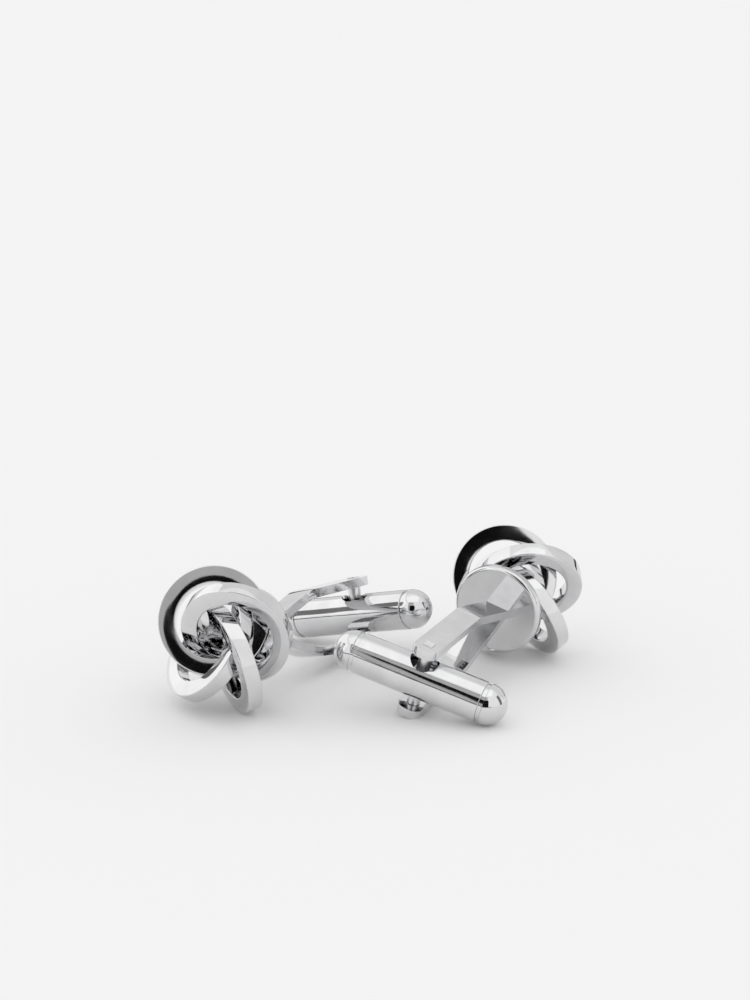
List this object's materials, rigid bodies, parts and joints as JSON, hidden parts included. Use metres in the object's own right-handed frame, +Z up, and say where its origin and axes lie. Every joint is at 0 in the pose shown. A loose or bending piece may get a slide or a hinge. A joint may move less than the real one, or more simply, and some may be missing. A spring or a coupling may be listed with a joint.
{
  "type": "pair of knot cufflinks",
  "caption": "Pair of polished knot cufflinks: linked flat rings on a round backplate, forked shank and a swivelling bullet toggle that holds behind the cuff.",
  "frame": {"origin": "centre of the bounding box of the pair on the floor that it lies on", "axes": "+Z up from the floor; Y along the two shanks, which lie head to tail; the left cufflink is on the -X side with its knot toward -Y"},
  "size_m": [0.0328, 0.0382, 0.0136],
  "materials": {
    "polished_metal": "polished",
    "spring_steel": "satin"
  },
  "bodies": {
    "fixed_parts": {"left_knot_ring_1": "polished_metal", "left_knot_ring_2": "polished_metal", "left_knot_ring_3": "polished_metal", "left_knot_ring_4": "polished_metal", "left_backplate": "polished_metal", "left_shank_fork": "polished_metal", "left_pivot_pin": "polished_metal", "right_knot_ring_1": "polished_metal", "right_knot_ring_2": "polished_metal", "right_knot_ring_3": "polished_metal", "right_knot_ring_4": "polished_metal", "right_backplate": "polished_metal", "right_shank_fork": "polished_metal", "right_pivot_pin": "polished_metal"},
    "left_toggle": {"left_toggle_barrel": "polished_metal", "left_toggle_cap_outer": "polished_metal", "left_toggle_cap_inner": "polished_metal", "left_leaf_spring_front": "spring_steel", "left_leaf_spring_back": "spring_steel"},
    "right_toggle": {"right_toggle_barrel": "polished_metal", "right_toggle_cap_outer": "polished_metal", "right_toggle_cap_inner": "polished_metal", "right_leaf_spring_front": "spring_steel", "right_leaf_spring_back": "spring_steel"}
  },
  "joints": [
    {"name": "left_toggle_hinge", "type": "hinge", "parent": "fixed_parts", "child": "left_toggle", "pos_m": [-0.00776, 0.00715, 0.004], "axis": [-0.2278, 0.1442, 0.963], "range_deg": [-92.3, 87.7], "deforming": ["left_leaf_spring_front", "left_leaf_spring_back"]},
    {"name": "right_toggle_hinge", "type": "hinge", "parent": "fixed_parts", "child": "right_toggle", "pos_m": [0.00804, -0.00705, 0.004], "axis": [0.3107, -0.0905, 0.9462], "range_deg": [-97, 83], "deforming": ["right_leaf_spring_front", "right_leaf_spring_back"]}
  ]
}
